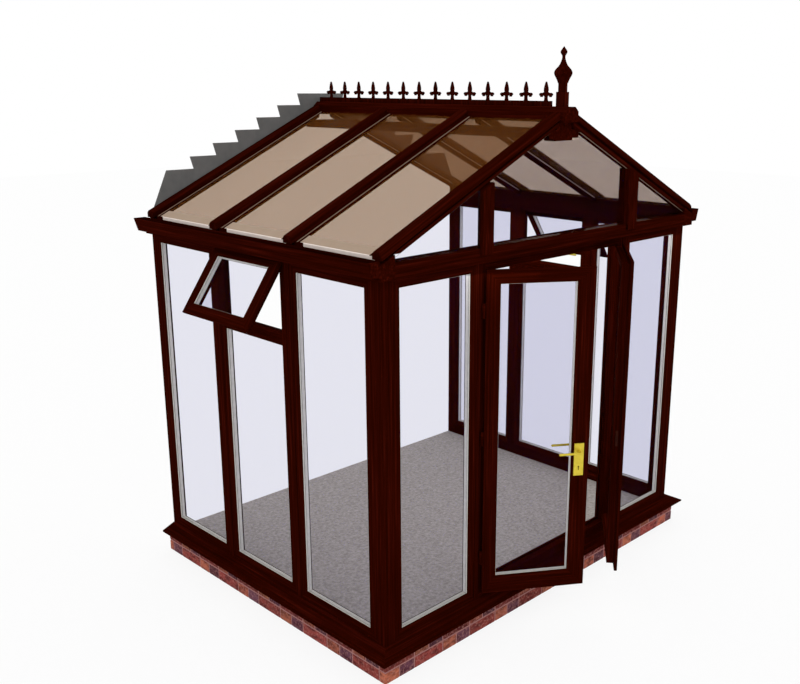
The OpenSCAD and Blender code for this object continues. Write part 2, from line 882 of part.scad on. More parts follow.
// Eaves beam section as [outward, up] points from its inner face, its top in the sheets' plane
module eaves_beam() {
    outer = frame_t + fascia_out;
    translate([-inner_x, front_y - fascia_out, 0])
        mirror([1, 0, 0])
            run_y([[0, frame_z1], [0, beam_top], [outer, sheet_low(inner_x + outer) - seat_gap],
                   [outer, fascia_z], [frame_t, fascia_z], [frame_t, frame_z1]], frame_d + fascia_out);
    translate([-half_w, front_y - fascia_out, fascia_z]) cube([frame_t, fascia_out, fascia_drop]);
}

module left_eaves_beam() color(rosewood) eaves_beam();

module right_eaves_beam() color(rosewood) mirror([1, 0, 0]) eaves_beam();

// Open gutter with closed ends, hung on the fascia
module gutter() {
    z0 = fascia_z + gutter_lift;
    z1 = z0 + gutter_h;
    length = frame_d + fascia_out;
    lean = (gutter_w - gutter_floor)/gutter_h;
    translate([-half_w - fascia_out, front_y - fascia_out, 0])
        difference() {
            mirror([1, 0, 0])
                run_y([[0, z0], [gutter_floor, z0], [gutter_w, z1], [0, z1]], length);
            translate([0, gutter_wall, 0])
                mirror([1, 0, 0])
                    run_y([[gutter_wall, z0 + gutter_wall],
                           [gutter_floor - gutter_wall + lean*gutter_wall, z0 + gutter_wall],
                           [gutter_w - gutter_wall + lean*cut, z1 + cut], [gutter_wall, z1 + cut]],
                          length - 2*gutter_wall);
        }
}

module left_gutter() color(rosewood) gutter();

module right_gutter() color(rosewood) mirror([1, 0, 0]) gutter();

// Gable

module gable_beam() {
    color(rosewood)
        translate([-inner_x, front_y, 0])
            run_x([[-fascia_out, fascia_z], [0, fascia_z], [0, frame_z1], [frame_t, frame_z1],
                   [frame_t, beam_top], [-fascia_out, beam_top]], 2*inner_x);
}

// Everything below the roof bar feet
module under_bars() {
    translate([0, 0, -seat_gap])
        rotate([90, 0, 0])
            linear_extrude(big, center = true)
                polygon([[0, foot_low_z], [big, foot_low(big)], [-big, foot_low(big)]]);
}

module gable_mullions() {
    face = -fascia_out - gable_mull_out;
    low = beam_top - gable_mull_lap;
    color(rosewood)
        intersection() {
            for (x = [-gable_mull_x, gable_mull_x])
                translate([x - gable_mull_w/2, front_y, 0])
                    run_x([[face, low], [-fascia_out, low], [-fascia_out, beam_top], [glass_t, beam_top],
                           [glass_t, apex_z], [face, apex_z]], gable_mull_w);
            under_bars();
        }
}

module gable_glass() {
    inner = gable_mull_x - gable_mull_w/2;
    outer = gable_mull_x + gable_mull_w/2;
    color(clear_glass)
        intersection() {
            union() {
                translate([-inner, bar_front_y - glass_t/2, beam_top]) cube([2*inner, glass_t, big]);
                for (x = [-inner_x, outer])
                    translate([x, bar_front_y - glass_t/2, beam_top]) cube([inner_x - outer, glass_t, big]);
            }
            difference() {
                under_bars();
                translate([-tie_half, -big/2, tie_low - boss_h]) cube([2*tie_half, big, big]);
            }
        }
}

// Roof

// Bar cap and web as [across, up] points from the sheets' top plane
function bar_section() =
    let (bevel = cap_h/3)
    [[-bar_half, 0], [-bar_half, cap_h - bevel], [-bar_half + bevel, cap_h], [bar_half - bevel, cap_h],
     [bar_half, cap_h - bevel], [bar_half, 0], [web_half, 0], [web_half, -sheet_t],
     [-web_half, -sheet_t], [-web_half, 0]];

// Bar foot under the sheets
function foot_section() =
    let (bevel = foot_h/3, low = -sheet_t - foot_h)
    [[-foot_half, -sheet_t], [foot_half, -sheet_t], [foot_half, low + bevel], [foot_half - bevel, low],
     [-foot_half + bevel, low], [-foot_half, low + bevel]];

// One right-hand roof bar: the cap runs over the eaves beam, the foot stops against it
module roof_bar(y) {
    length = 2*bar_end;
    difference() {
        union() {
            intersection() {
                translate([0, y, 0]) on_right_slope() run_x(bar_section(), length);
                translate([ridge_half, -big/2, 0]) cube([bar_end - ridge_half, big, big]);
            }
            intersection() {
                translate([0, y, 0]) on_right_slope() run_x(foot_section(), length);
                translate([ridge_half, -big/2, 0]) cube([inner_x - ridge_half, big, big]);
            }
        }
        translate([0, front_y - fascia_out, 0]) cube([inner_x, frame_t + fascia_out, beam_top]);
    }
}

module right_roof_bars() color(rosewood) for (y = bar_ys) roof_bar(y);

module left_roof_bars() color(rosewood) mirror([1, 0, 0]) for (y = bar_ys) roof_bar(y);

// Twin-wall sheets of the right slope, from the ridge cap to the eaves
module roof_sheets() {
    edge = web_half + sheet_gap;
    for (i = [0:len(bar_ys) - 2])
        intersection() {
            on_right_slope()
                translate([0, bar_ys[i] + edge, -sheet_t])
                    cube([2*sheet_end, bar_ys[i + 1] - bar_ys[i] - 2*edge, sheet_t]);
            translate([ridge_half, -big/2, 0]) cube([sheet_end - ridge_half, big, big]);
        }
}

module right_roof_sheets() color(bronze_sheet) roof_sheets();

module left_roof_sheets() color(bronze_sheet) mirror([1, 0, 0]) roof_sheets();

// Closers along the sheets' lower ends, between the bar caps
module side_closers() {
    for (i = [0:len(bar_ys) - 2])
        intersection() {
            on_right_slope()
                translate([0, bar_ys[i] + bar_half + sheet_gap, -sheet_t])
                    cube([2*sheet_end, bar_ys[i + 1] - bar_ys[i] - 2*bar_half - 2*sheet_gap, sheet_t]);
            translate([sheet_end, -big/2, 0]) cube([closer_t, big, big]);
        }
}

module sheet_closers() {
    color(cream) {
        side_closers();
        mirror([1, 0, 0]) side_closers();
    }
}

// Ridge

module ridge_cap() {
    color(rosewood)
        translate([0, front_y - ridge_out, 0])
            run_y([[-ridge_half, ridge_low], [ridge_half, ridge_low], [ridge_half, bar_top(ridge_half)],
                   [ridge_top_half, ridge_top], [-ridge_top_half, ridge_top],
                   [-ridge_half, bar_top(ridge_half)]], frame_d + ridge_out - lead_t);
}

// Tie under the bars at the ridge, with a boss and a block up to the ridge cap at its front end
module ridge_tie() {
    top = tie_low + tie_h - seat_gap;
    seat = foot_low(tie_half - tie_seat) - seat_gap;
    block = ridge_half - seat_gap;
    color(rosewood) {
        translate([0, front_y - tie_out, 0])
            run_y([[-tie_half, tie_low], [tie_half, tie_low], [tie_half, top], [tie_half - tie_seat, seat],
                   [-tie_half + tie_seat, seat], [-tie_half, top]], frame_d + tie_out);
        translate([-boss_half, front_y - tie_out, tie_low - boss_h]) cube([2*boss_half, boss_l, boss_h]);
        translate([-block, front_y - tie_out, seat - cut])
            cube([2*block, 2*bar_half, ridge_low - seat_gap - seat + cut]);
    }
}

// One fleur as a flat outline standing on [0, 0]: a flared stem, two drooping arms and a spear head
module fleur_outline() {
    h = fleur_h;
    right = [[0.18, -cut/h], [0.18, 0.03], [0.1, 0.13], [0.1, 0.33], [0.21, 0.32], [0.24, 0.23],
             [0.34, 0.25], [0.33, 0.37], [0.23, 0.45], [0.1, 0.45], [0.166, 0.58]];
    polygon(concat([[0, h]], [for (i = [len(right) - 1:-1:0]) right[i]*h],
                   [for (p = right) [-p[0], p[1]]*h]));
}

module ridge_cresting() {
    start = front_y + crest_start;
    run = rear_y - lead_t - start;
    spacing = (run - fleur_first - fleur_last)/(fleur_count - 1);
    color(rosewood) {
        translate([-crest_strip_t/2, start, ridge_top]) cube([crest_strip_t, run, crest_strip_h]);
        for (i = [0:fleur_count - 1])
            translate([-fleur_t/2, start + fleur_first + i*spacing, ridge_top + crest_strip_h])
                rotate([90, 0, 90])
                    linear_extrude(fleur_t)
                        fleur_outline();
    }
}

// Finial: square base, then a turned neck, bulb and bud
module finial() {
    r = finial_d/2;
    base_h = 0.247*finial_h;
    foot = [[0, base_h - cut], [finial_turning[0][0]*r, base_h - cut]];
    color(rosewood)
        translate([0, front_y + finial_y, ridge_top]) {
            translate([-finial_base/2, -finial_base/2, 0]) cube([finial_base, finial_base, base_h]);
            rotate_extrude()
                polygon(concat(foot, [for (p = finial_turning) [p[0]*r, p[1]*finial_h]]));
        }
}

// Stepped lead flashing against the house wall, dressed down behind the rear bars
module flashing_half() {
    steps = [for (i = [0:lead_count - 1], j = [0, 1])
                [lead_far - i*lead_run + (j - 0.5)*lead_lean, lead_first + (i + j)*lead_step]];
    toe = [[lead_foot, sheet_top_z - lead_foot*slope], [lead_foot - lead_toe, lead_first]];
    translate([0, rear_y, 0])
        rotate([90, 0, 0])
            linear_extrude(lead_t)
                polygon(concat([[0, sheet_top_z]], toe, steps, [[0, apex_z + lead_head]]));
}

module flashing() {
    color(lead_grey) {
        flashing_half();
        mirror([1, 0, 0]) flashing_half();
    }
}

plinth_left();
plinth_front();
plinth_right();
floor_slab();
sill_left();
sill_front();
sill_right();
corner_posts();
couplers();
wall_channels();
left_rear_frame();
left_middle_frame();
left_front_frame();
right_rear_frame();
right_middle_frame();
right_front_frame();
front_left_frame();
front_right_frame();
door_jambs();
door_head();
door_threshold();
left_glass();
right_glass();
front_glass();
left_vent_sash();
right_vent_sash();
vent_glass();
vent_handles();
left_eaves_beam();
right_eaves_beam();
left_gutter();
right_gutter();
gable_beam();
gable_mullions();
gable_glass();
left_roof_bars();
right_roof_bars();
left_roof_sheets();
right_roof_sheets();
sheet_closers();
ridge_cap();
ridge_tie();
ridge_cresting();
finial();
flashing();
left_door_leaf();
left_door_glass();
left_door_plates();
left_door_lever();
right_door_leaf();
right_door_glass();
lock_keep();
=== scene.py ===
import json
import math

import bmesh
import bpy
import numpy as np
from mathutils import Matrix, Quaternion, Vector


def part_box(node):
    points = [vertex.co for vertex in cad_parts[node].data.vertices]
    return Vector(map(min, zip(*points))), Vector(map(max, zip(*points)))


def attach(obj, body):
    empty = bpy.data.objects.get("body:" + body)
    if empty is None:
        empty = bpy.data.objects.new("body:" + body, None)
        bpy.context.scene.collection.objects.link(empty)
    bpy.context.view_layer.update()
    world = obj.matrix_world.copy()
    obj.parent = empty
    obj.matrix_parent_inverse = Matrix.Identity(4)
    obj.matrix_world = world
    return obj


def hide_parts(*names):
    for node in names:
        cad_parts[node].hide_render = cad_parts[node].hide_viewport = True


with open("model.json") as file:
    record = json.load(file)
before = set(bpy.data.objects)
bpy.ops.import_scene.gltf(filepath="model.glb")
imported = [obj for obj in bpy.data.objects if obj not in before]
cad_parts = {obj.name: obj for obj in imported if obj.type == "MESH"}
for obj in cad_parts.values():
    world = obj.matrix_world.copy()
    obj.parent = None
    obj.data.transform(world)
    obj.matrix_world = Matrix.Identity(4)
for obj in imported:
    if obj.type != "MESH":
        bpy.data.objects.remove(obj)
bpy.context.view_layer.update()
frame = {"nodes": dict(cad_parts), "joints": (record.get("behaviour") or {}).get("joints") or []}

MM = 0.001
rng = np.random.default_rng(7)

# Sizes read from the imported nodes, in metres
posts_lo, posts_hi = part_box("corner_posts")
HALF_W = posts_hi.x
FRONT_Y = posts_lo.y
REAR_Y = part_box("wall_channels")[1].y
FRAME_Z0 = posts_lo.z
FRAME_Z1 = posts_hi.z

# Section sizes of the frames, sashes and leaves
FRAME_T = 60 * MM
RAIL_W = 65 * MM
SIGHT_BEVEL = 2 * MM
GLASS_SET = 8 * MM
GLASS_T = 28 * MM
GROOVE_W = 28.4 * MM
GROOVE_D = 12 * MM
PANE_T = 4 * MM
UNIT_GAP = 0.5 * MM
PROUD = 0.6 * MM
BEAD_FLAT = 0.6 * MM
BEAD_SPLAY = 30 * MM
SPACER_IN = 1 * MM
GASKET_IN = 0.1 * MM
GASKET_SET = 1.2 * MM
TRANSOM_Z = 1.726
TRANSOM_W = 80 * MM
EASE = 2.5 * MM

# Clearances: a pane on its seat, and shapes that meet
SEAT = 0.2 * MM
FIT = 0.3 * MM

# Leaves and vents: the sash section stands forward of the wall face
SASH_FRONT = -26 * MM
SASH_BACK = 40 * MM
SASH_GAP = 6 * MM
SASH_SPLAY = 20 * MM
LEAF_W = 628 * MM
MEET_W = 43 * MM
HINGE_OFF = 10 * MM
HINGE_R = 9 * MM
HINGE_INSET = 230 * MM
KNUCKLE_H = 42 * MM
KNUCKLE_GAP = 0.5 * MM
KNUCKLE_EDGE = 1 * MM
KNUCKLE_DOME = 2 * MM
VENT_RISE = 25 * MM
VENT_OPEN = 34.8
VENT_HINGE_L = 70 * MM
VENT_HINGE_RISE = 2 * MM
VENT_HINGES_AT = (0.2, 0.8)

# Face widths and laps of sash members as foot, right, head and left
LEAF_FACES = np.array([112, 110, 80, 82]) * MM
LEAF_LAPS = np.array([30, 24, 13, 45.5]) * MM
SASH_FACES = np.array([70, 71, 47, 71]) * MM
SASH_LAPS = np.array([28, 41, 16, 41]) * MM

# Roof sizes; heights of tape, skirts and their lines are above the sheets
PITCH = math.radians(25.1)
SLOPE = math.tan(PITCH)
SHEET_T = 16 * MM
SHEET_GAP = 2 * MM
BAR_HALF = 36 * MM
BAR_DEPTH = 40 * MM
FOOT_HALF = 25 * MM
WEB_HALF = 8 * MM
SKIN_T = 0.8 * MM
RIB_PITCH = 20 * MM
SKIRT_W = 45 * MM
SKIRT_Z = (0.6 * MM, 2 * MM)
LINE_W = 9 * MM
LINE_AT = 20 * MM
LINE_PAST = 2 * MM
LINE_Z = (2.1 * MM, 3 * MM)
TAPE_GAP = 44 * MM
TAPE_LAP = 4 * MM
TAPE_Z = (0.1 * MM, 0.5 * MM)
LIP_W = 76 * MM
LIP_OUT = 2 * MM
LIP_RISE = 0.5 * MM
BAR_SEAL_W = 3 * MM
BAR_SEAL_D = 4 * MM
BAR_SEAL_SHORT = 90 * MM

# Gable sizes; a raking seal is as deep as it shows under each side's bars
RAKE_SEAL_T = 0.8 * MM
RAKE_SEAL_GAP = 0.5 * MM
RAKE_SEAL_DEEP = {1: 9 * MM, -1: 2 * MM}
GABLE_MULL_W = 92 * MM
MULL_SIDE = 17 * MM
MULL_SPLAY = 55 * MM
BEAM_DROP = 42 * MM


# Shapes: each is (points, faces, UV of every face corner)
GRAIN_SHIFT = 0.37
SHARP = math.radians(35)


def unit(v):
    """Vectors divided by their own length."""
    return v / np.linalg.norm(v, axis=-1, keepdims=True)


def lengths_round(outline):
    """Running length round a closed outline, from its first point back to it."""
    steps = np.linalg.norm(np.roll(outline, -1, 0) - outline, axis=1)
    return np.concatenate([[0.0], np.cumsum(steps)])


def eased(outline, radius=EASE, steps=3):
    """A closed outline whose corners are quadratic curves.

    Each curve starts radius before its corner, ends radius after it and is drawn towards the corner.
    Radius is one number or one for each corner, cut to 0.45 of the shorter edge.
    """
    p = np.asarray(outline, float)
    back, on = np.roll(p, 1, 0) - p, np.roll(p, -1, 0) - p
    shorter = np.minimum(np.linalg.norm(back, axis=1), np.linalg.norm(on, axis=1))
    r = np.minimum(radius, 0.45 * shorter)[:, None]
    a, b = p + unit(back) * r, p + unit(on) * r
    t = np.linspace(0, 1, steps)[None, :, None]
    curve = (1 - t) ** 2 * a[:, None] + 2 * t * (1 - t) * p[:, None] + t ** 2 * b[:, None]
    return curve.reshape(-1, 2)


def ring(section, outline):
    """A section carried round a rectangle of (x, z) corners, mitred at them.

    Section is one for all sides or one for each. A corner moves inward from the two sides it joins by
    their sections' first numbers, to the depth of the second. U runs along each member in metres and
    V round the section, shifted from member to member so that their grain differs.
    """
    outline, section = np.asarray(outline, float), np.asarray(section, float)
    m, n = len(outline), section.shape[-2]
    section = np.broadcast_to(section, (m, n, 2))
    along = unit(np.roll(outline, -1, 0) - outline)
    inward = np.stack([-along[:, 1], along[:, 0]], 1)
    step = inward[:, None] * section[..., :1]
    flat = outline[:, None] + step + np.roll(step, 1, 0)
    points = np.concatenate([flat[..., :1], section[..., 1:], flat[..., 1:]], 2).reshape(-1, 3)
    i, j = np.meshgrid(np.arange(m), np.arange(n), indexing="ij")
    ci = np.stack([i, (i + 1) % m, (i + 1) % m, i], 2)
    cj = np.stack([j, j, (j + 1) % n, (j + 1) % n], 2)
    u = (flat[ci, cj] * along[i][:, :, None]).sum(3)
    v = lengths_round(section[0])[np.stack([j, j, j + 1, j + 1], 2)] + GRAIN_SHIFT * i[..., None]
    return points, (ci * n + cj).reshape(-1, 4).tolist(), np.stack([u, v], 3).reshape(-1, 2)


def prism(outline, start, end, axes=(0, 2, 1)):
    """A closed outline drawn straight from start to end, with flat ends.

    Axes are the local axes of the outline's two numbers and of the draw. U runs along the draw in
    metres and V round the outline.
    """
    outline = np.asarray(outline, float)
    n = len(outline)
    points = np.empty((2, n, 3))
    points[..., axes[0]] = outline[:, 0]
    points[..., axes[1]] = outline[:, 1]
    points[..., axes[2]] = np.array([[start], [end]])
    j = np.arange(n)
    sides = np.stack([j, (j + 1) % n, n + (j + 1) % n, n + j], 1)
    v = lengths_round(outline)
    u = np.broadcast_to([start, start, end, end], (n, 4))
    uv = np.stack([u, np.stack([v[:-1], v[1:], v[1:], v[:-1]], 1)], 2).reshape(-1, 2)
    faces = sides.tolist() + [j[::-1].tolist(), (n + j).tolist()]
    return points.reshape(-1, 3), faces, np.concatenate([uv, outline[::-1], outline])


def turned(profile, centre, steps=20, axes=(0, 1, 2)):
    """A closed profile of (radius, height) turned round an axis: (r cos t, r sin t, height)."""
    profile = np.asarray(profile, float)
    n = len(profile)
    t = np.linspace(0, 2 * math.pi, steps, endpoint=False)[:, None]
    points = np.empty((steps, n, 3))
    points[..., axes[0]] = profile[:, 0] * np.cos(t)
    points[..., axes[1]] = profile[:, 0] * np.sin(t)
    points[..., axes[2]] = profile[:, 1]
    i, j = np.meshgrid(np.arange(steps), np.arange(n), indexing="ij")
    i2, j2 = (i + 1) % steps, (j + 1) % n
    faces = np.stack([i * n + j, i2 * n + j, i2 * n + j2, i * n + j2], 2).reshape(-1, 4)
    uv = points.reshape(-1, 3)[faces.ravel()][:, list(axes[1:])]
    return points.reshape(-1, 3) + np.asarray(centre), faces.tolist(), uv


def boxes(lo, hi):
    """Many boxes between rows of lowest and highest corners."""
    lo, hi = np.atleast_2d(lo), np.atleast_2d(hi)
    pick = np.array([[c & 1, c >> 1 & 1, c >> 2] for c in range(8)])
    points = np.where(pick[None] == 1, hi[:, None], lo[:, None]).reshape(-1, 3)
    quads = np.array([[0, 2, 3, 1], [4, 5, 7, 6], [0, 1, 5, 4], [2, 6, 7, 3], [0, 4, 6, 2], [1, 3, 7, 5]])
    faces = (quads[None] + 8 * np.arange(len(lo))[:, None, None]).reshape(-1, 4)
    return points, faces.tolist(), points[faces.ravel()][:, :2]


def rows(pairs):
    """Many boxes from a list of (lowest corner, highest corner)."""
    pairs = np.array(pairs)
    return boxes(pairs[:, 0], pairs[:, 1])


def joined(shapes):
    """Several shapes as one."""
    first = np.cumsum([0] + [len(s[0]) for s in shapes])
    faces = [[k + a for k in f] for s, a in zip(shapes, first.tolist()) for f in s[1]]
    return np.concatenate([s[0] for s in shapes]), faces, np.concatenate([s[2] for s in shapes])


def moved(shape, where):
    """A shape carried from a local place (turn matrix, origin) into the row frame."""
    return shape[0] @ where[0].T + where[1], shape[1], shape[2]


def place(origin, along, inward, up=(0, 0, 1)):
    """A local place whose X, Y and Z run along, inward and up."""
    return np.array([along, inward, up], float).T, np.array(origin, float)


def swung(where, pivot, axis, degrees):
    """A place turned about one of its own axes through a pivot."""
    a = math.radians(degrees)
    turn = np.eye(3)
    p, q = [(1, 2), (2, 0), (0, 1)][axis]
    turn[p, p] = turn[q, q] = math.cos(a)
    turn[p, q], turn[q, p] = -math.sin(a), math.sin(a)
    pivot = np.asarray(pivot, float)
    return where[0] @ turn, where[1] + where[0] @ (pivot - turn @ pivot)


def rectangle(x0, z0, x1, z1):
    """The four corners of a rectangle, going round to the left."""
    return np.array([[x0, z0], [x1, z0], [x1, z1], [x0, z1]])


def piece(name, shapes, finish, body="building", stands_for=(), tones=None, foot=None):
    """Makes shapes one mesh with its finish, riding a body and standing for CAD nodes.

    Tones colour the points one by one. Foot is the finish of the first side of rings of four points.
    """
    points, faces, uv = joined(shapes)
    mesh = bpy.data.meshes.new(name)
    mesh.from_pydata(points.tolist(), [], faces)
    mesh.uv_layers.new(name="grain").data.foreach_set("uv", uv.ravel())
    if tones is not None:
        layer = mesh.attributes.new("fired", "FLOAT_COLOR", "POINT")
        layer.data.foreach_set("color", np.asarray(tones, float).ravel())
    bm = bmesh.new()
    bm.from_mesh(mesh)
    bmesh.ops.recalc_face_normals(bm, faces=bm.faces)
    bm.to_mesh(mesh)
    bm.free()
    mesh.shade_smooth()
    mesh.set_sharp_from_angle(angle=SHARP)
    obj = bpy.data.objects.new(name, mesh)
    bpy.context.scene.collection.objects.link(obj)
    mesh.materials.append(finish)
    if foot:
        mesh.materials.append(foot)
        first_side = np.arange(len(faces)) // 4 % 4 == 0
        mesh.polygons.foreach_set("material_index", first_side.astype(np.int32))
    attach(obj, body)
    if stands_for:
        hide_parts(*stands_for)
    return obj


# Finishes

def colour(code):
    """Scene-linear colour of an sRGB hex code."""
    c = np.array([int(code[k:k + 2], 16) for k in (1, 3, 5)]) / 255
    rgb = np.where(c <= 0.04045, c / 12.92, ((c + 0.055) / 1.055) ** 2.4)
    return (*rgb.tolist(), 1.0)


def add(tree, kind, inputs=None, stops=None, **settings):
    """A node with its settings, its linked or fixed inputs and, for a ramp, its colour stops.

    The first two stops are the ramp's own ends, and the others are new ones between them.
    """
    node = tree.nodes.new("ShaderNode" + kind)
    for key, value in settings.items():
        setattr(node, key, value)
    for socket, value in (inputs or {}).items():
        if isinstance(value, bpy.types.NodeSocket):
            tree.links.new(value, node.inputs[socket])
        else:
            node.inputs[socket].default_value = value
    for k, (at, shade) in enumerate(stops or []):
        ramp = node.color_ramp.elements
        stop = ramp[k] if k < 2 else ramp.new(at)
        stop.position, stop.color = at, shade
    return node


def new_finish(name):
    """An empty material and its tree."""
    made = bpy.data.materials.new(name)
    made.use_nodes = True
    made.node_tree.nodes.clear()
    return made, made.node_tree


def streaks(tree, source, across, along, detail):
    """Noise drawn out along X: across and along are the streaks' width and length in metres."""
    stretched = add(tree, "Mapping", {"Vector": source, "Scale": (1 / along, 1 / across, 1 / across)})
    noise = add(tree, "TexNoise", {"Vector": stretched.outputs[0], "Scale": 1.0, "Detail": detail,
                                   "Roughness": 0.55, "Distortion": 0.15})
    return noise.outputs["Fac"]


def rosewood(name, turn=None):
    """Dark red-brown printed foil, its broad and fine streaks running along the member."""
    made, tree = new_finish(name)
    if turn is None:
        source = add(tree, "UVMap", uv_map="grain").outputs["UV"]
    else:
        at = add(tree, "TexCoord").outputs["Object"]
        source = add(tree, "Mapping", {"Vector": at, "Rotation": turn}).outputs[0]
    broad = streaks(tree, source, 14 * MM, 700 * MM, 3)
    fine = streaks(tree, source, 3 * MM, 260 * MM, 2)
    both = add(tree, "Mix", {0: 0.4, 2: broad, 3: fine}).outputs[0]
    shade = add(tree, "ValToRGB", {"Fac": both}, stops=[
        (0.32, colour("#1C0300")), (0.68, colour("#481208")),
        (0.46, colour("#280500")), (0.56, colour("#320802"))])
    sheen = add(tree, "MapRange", {"Value": fine, "From Min": 0.3, "From Max": 0.7, "To Min": 0.42,
                                   "To Max": 0.6})
    emboss = add(tree, "Bump", {"Height": fine, "Strength": 0.2, "Distance": 0.3 * MM})
    shader = add(tree, "BsdfPrincipled", {
        "Base Color": shade.outputs["Color"], "Roughness": sheen.outputs[0], "Specular IOR Level": 0.0002,
        "Normal": emboss.outputs[0]})
    add(tree, "OutputMaterial", {"Surface": shader.outputs[0]})
    return made


def filter_glass(name, whole, mirror_ior, body_share=0.0, body_shade="#000000"):
    """A tinted clear skin that darkens what is behind it, with a faint gloss at shallow angles.

    Whole is what white becomes through two skins, so each of their four faces takes its fourth root.
    """
    made, tree = new_finish(name)
    tint = np.array(colour(whole)) ** (1 / 4)
    clear = add(tree, "BsdfTransparent", {"Color": tint.tolist()}).outputs[0]
    if body_share:
        haze = add(tree, "BsdfDiffuse", {"Color": colour(body_shade)}).outputs[0]
        clear = add(tree, "MixShader", {0: body_share, 1: clear, 2: haze}).outputs[0]
    edge = add(tree, "Fresnel", {"IOR": mirror_ior}).outputs[0]
    gloss = add(tree, "BsdfGlossy", {"Color": WHITE, "Roughness": 0.02}).outputs[0]
    mixed = add(tree, "MixShader", {0: edge, 1: clear, 2: gloss})
    add(tree, "OutputMaterial", {"Surface": mixed.outputs[0]})
    return made


def mottled(name, dark, light, size, rough, depth=0.0, metal=0.0, gloss=0.3, detail=5):
    """Two shades in patches of a given size, with a bump of the same pattern."""
    made, tree = new_finish(name)
    at = add(tree, "TexCoord").outputs["Object"]
    noise = add(tree, "TexNoise", {"Vector": at, "Scale": 1 / size, "Detail": detail, "Roughness": 0.6})
    shade = add(tree, "ValToRGB", {"Fac": noise.outputs["Fac"]},
                stops=[(0.3, colour(dark)), (0.7, colour(light))])
    dents = add(tree, "Bump", {"Height": noise.outputs["Fac"], "Strength": 0.4, "Distance": depth})
    shader = add(tree, "BsdfPrincipled", {
        "Base Color": shade.outputs["Color"], "Roughness": rough, "Metallic": metal,
        "Specular IOR Level": gloss, "Normal": dents.outputs[0]})
    add(tree, "OutputMaterial", {"Surface": shader.outputs[0]})
    return made


def facing_brick(name):
    """Each brick's own fired colour, smeared with dark drag marks and sanded with fine specks."""
    made, tree = new_finish(name)
    own = add(tree, "Attribute", attribute_name="fired").outputs["Color"]
    at = add(tree, "TexCoord").outputs["Object"]
    marks = (1 / (62.5 * MM), 1 / (62.5 * MM), 1 / (29.4 * MM))
    tilted = add(tree, "Mapping", {"Vector": at, "Rotation": (0.7, 0.7, 0.0), "Scale": marks})
    drag = add(tree, "TexNoise", {"Vector": tilted.outputs[0], "Scale": 1.0, "Detail": 3}).outputs["Fac"]
    smear = add(tree, "MapRange", {"Value": drag, "From Min": 0.44, "From Max": 0.64, "To Min": 0.0,
                                   "To Max": 0.7})
    dark = add(tree, "Mix", {0: smear.outputs[0], 6: own, 7: colour("#44191D")}, data_type="RGBA")
    sand = add(tree, "TexNoise", {"Vector": at, "Scale": 1 / (14 * MM), "Detail": 4}).outputs["Fac"]
    specks = add(tree, "MapRange", {"Value": sand, "From Min": 0.5, "From Max": 0.7, "To Min": 0.0,
                                    "To Max": 0.4})
    worn = add(tree, "Mix", {0: specks.outputs[0], 6: dark.outputs[2], 7: colour("#CF9588")},
               data_type="RGBA")
    rough = add(tree, "Bump", {"Height": sand, "Strength": 0.6, "Distance": 1.5 * MM})
    shader = add(tree, "BsdfPrincipled", {"Base Color": worn.outputs[2], "Roughness": 0.9,
                                          "Specular IOR Level": 0.1, "Normal": rough.outputs[0]})
    add(tree, "OutputMaterial", {"Surface": shader.outputs[0]})
    return made


QUARTER = math.pi / 2
WHITE = colour("#FFFFFF")

# Printed foil: a matt, almost black red-brown that only its grain breaks up
foil = rosewood("rosewood foil, grain along each member")
foil_up = rosewood("rosewood foil, grain upright", (0, QUARTER, 0))
foil_wide = rosewood("rosewood foil, grain across the front", (0, 0, 0))
foil_deep = rosewood("rosewood foil, grain front to back", (0, 0, -QUARTER))
foil_right = rosewood("rosewood foil, grain down the right slope", (0, -PITCH, 0))
foil_left = rosewood("rosewood foil, grain down the left slope", (0, PITCH, 0))

# Float glass: clear, with a cool cast that deepens through each further unit
glass = filter_glass("clear sealed glass", "#EAEAF4", 1.012, 0.01, "#0C0C58")

# Extruded polycarbonate: warm see-through skins, and ribs that hardly dim the view
bronze = filter_glass("bronze twin-wall skin", "#C6B7A8", 1.012, 0.1, "#9B5E27")
bronze_rib = filter_glass("bronze twin-wall rib", "#F4F2EE", 1.01)

# Satin strips round the panes: pale even lines, the foot strip greyer with painted shade
spacer = mottled("satin spacer strip", "#D8D5CC", "#E6E3DA", 30 * MM, 0.6, gloss=0.05)
# The foot strip faces up and takes more light, so its colour is painted darker to match the sides
shaded_foot_spacer = mottled("foot of the spacer strip, darkened as painted shade", "#B6B3A8", "#C4C1B6", 30 * MM, 0.8, gloss=0.05)
seal = mottled("pale sealing strip", "#CFC4BA", "#E6DDD2", 40 * MM, 0.6)

# Fired clay: dull mixed reds with dark smears, between uneven pinkish joints
brick = facing_brick("sanded facing brick")
mortar = mottled("pinkish mortar", "#94625F", "#B98681", 9 * MM, 0.95, depth=1 * MM, gloss=0.1)

# Floated cement: a matt grey with a close fleck
slab = mottled("power-floated floor screed", "#8F8982", "#BBB5AE", 21 * MM, 0.85, gloss=0.05, detail=8)

# Dressed lead: a flat grey, softly uneven
sheet_lead = mottled("weathered sheet lead", "#6C6C6B", "#777675", 80 * MM, 0.6, depth=0.6 * MM, gloss=0.1)

# Tape and extruded trims: plain warm tones with little gloss
tape = mottled("buff sheet-end tape", "#A8937F", "#AD9886", 120 * MM, 0.7, gloss=0.02)
cream = mottled("cream closer trim", "#F0E0D6", "#FBEDE4", 50 * MM, 0.5)
buff = mottled("buff bead of the bar skirts", "#7A6656", "#8A7565", 50 * MM, 0.7, gloss=0.05)

# Door furniture: a dark strike plate, and brass with a soft yellow shine
keep = mottled("bronzed strike plate", "#2A0C05", "#3A140A", 20 * MM, 0.5, gloss=0.05)
gold = mottled("polished brass", "#D2BA38", "#E8D248", 25 * MM, 0.35, metal=0.6)

